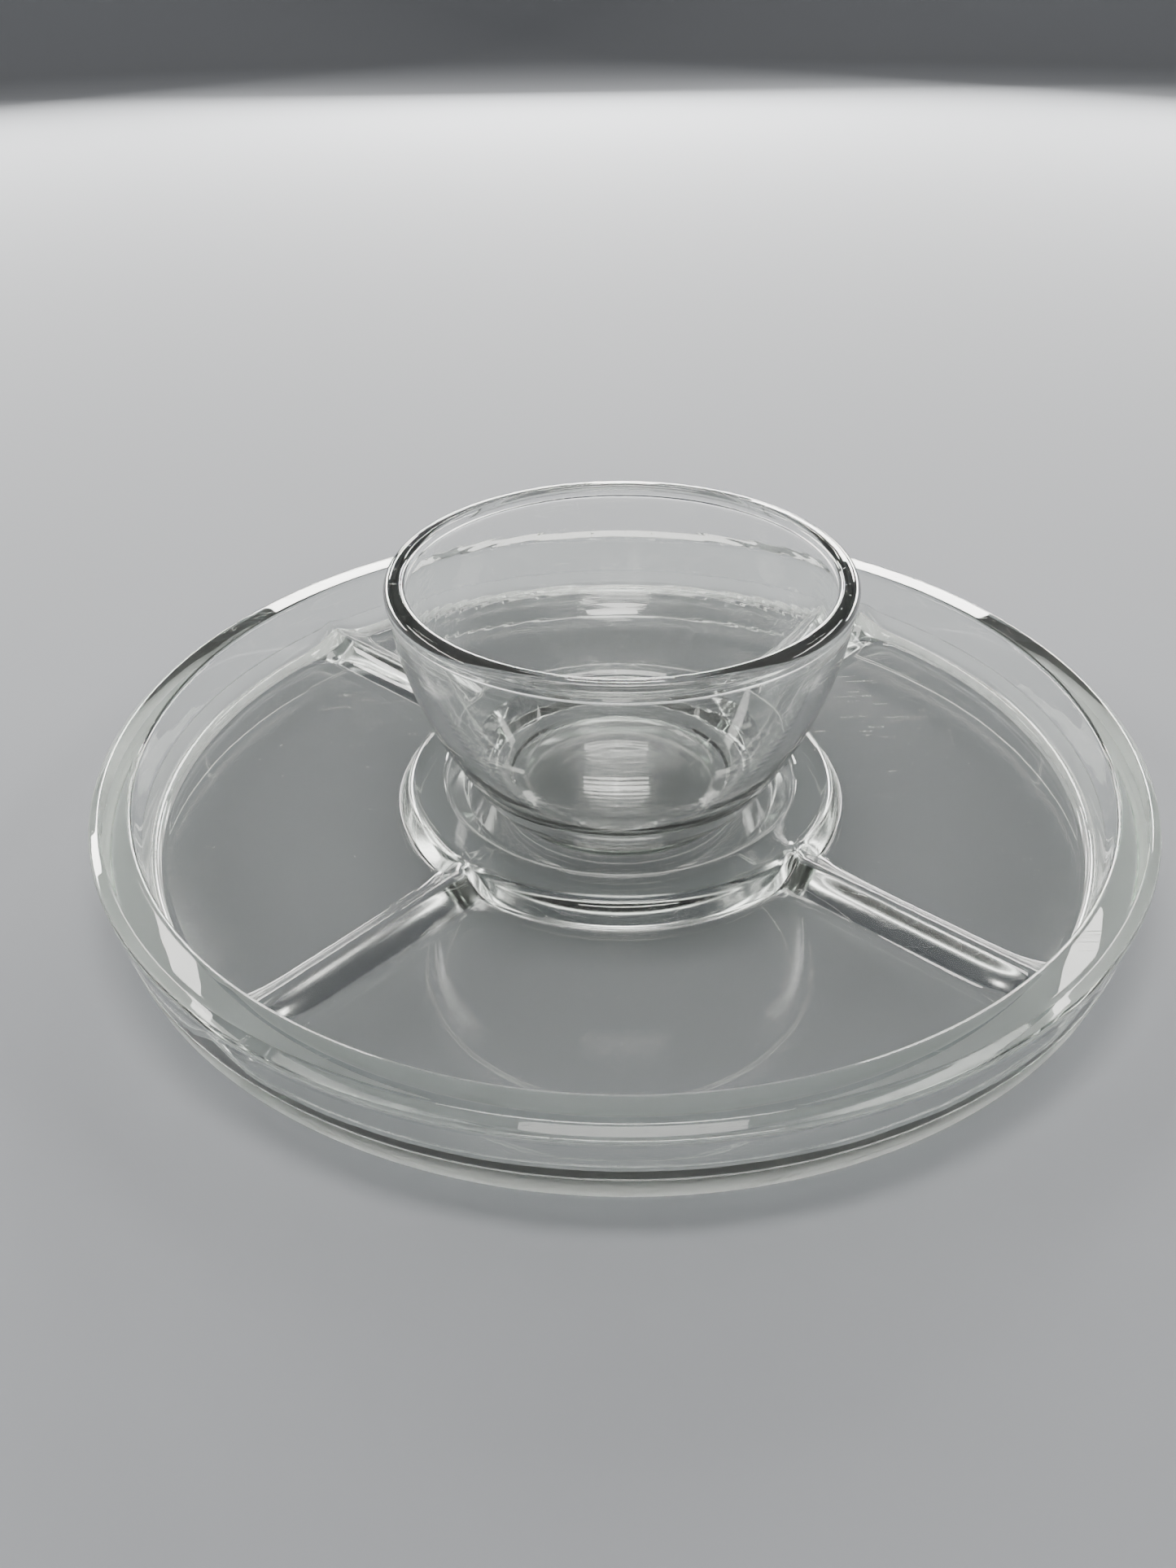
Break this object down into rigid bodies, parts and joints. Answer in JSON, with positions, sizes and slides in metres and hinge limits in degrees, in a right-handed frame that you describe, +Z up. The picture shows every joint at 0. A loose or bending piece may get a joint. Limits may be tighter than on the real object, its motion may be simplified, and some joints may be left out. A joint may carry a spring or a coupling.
{
  "type": "chip and dip server",
  "caption": "Round clear glass serving platter divided by radial ribs, with a lift-out glass dip bowl standing in a ringed centre well.",
  "frame": {"origin": "centre of the platter's flat underside, on the surface it stands on", "axes": "+Z up along the common axis of platter and bowl; the four ribs lie on the diagonals between X and Y, so one compartment faces each of +X, +Y, -X and -Y"},
  "size_m": [0.33, 0.33, 0.0843],
  "materials": {
    "platter_glass": "clear pressed glass, fire polished, with a faint cool tint in the thick rim and fine wear scratches",
    "bowl_glass": "clear pressed glass, fire polished, with a faint green tint in the thick rim"
  },
  "bodies": {
    "platter": {"divided_platter": "platter_glass"},
    "bowl": {"dip_bowl": "bowl_glass"}
  },
  "joints": [
    {"name": "bowl_lift", "type": "slide", "parent": "platter", "child": "bowl", "axis": [0, 0, 1], "range_m": [0, 0.12]}
  ]
}
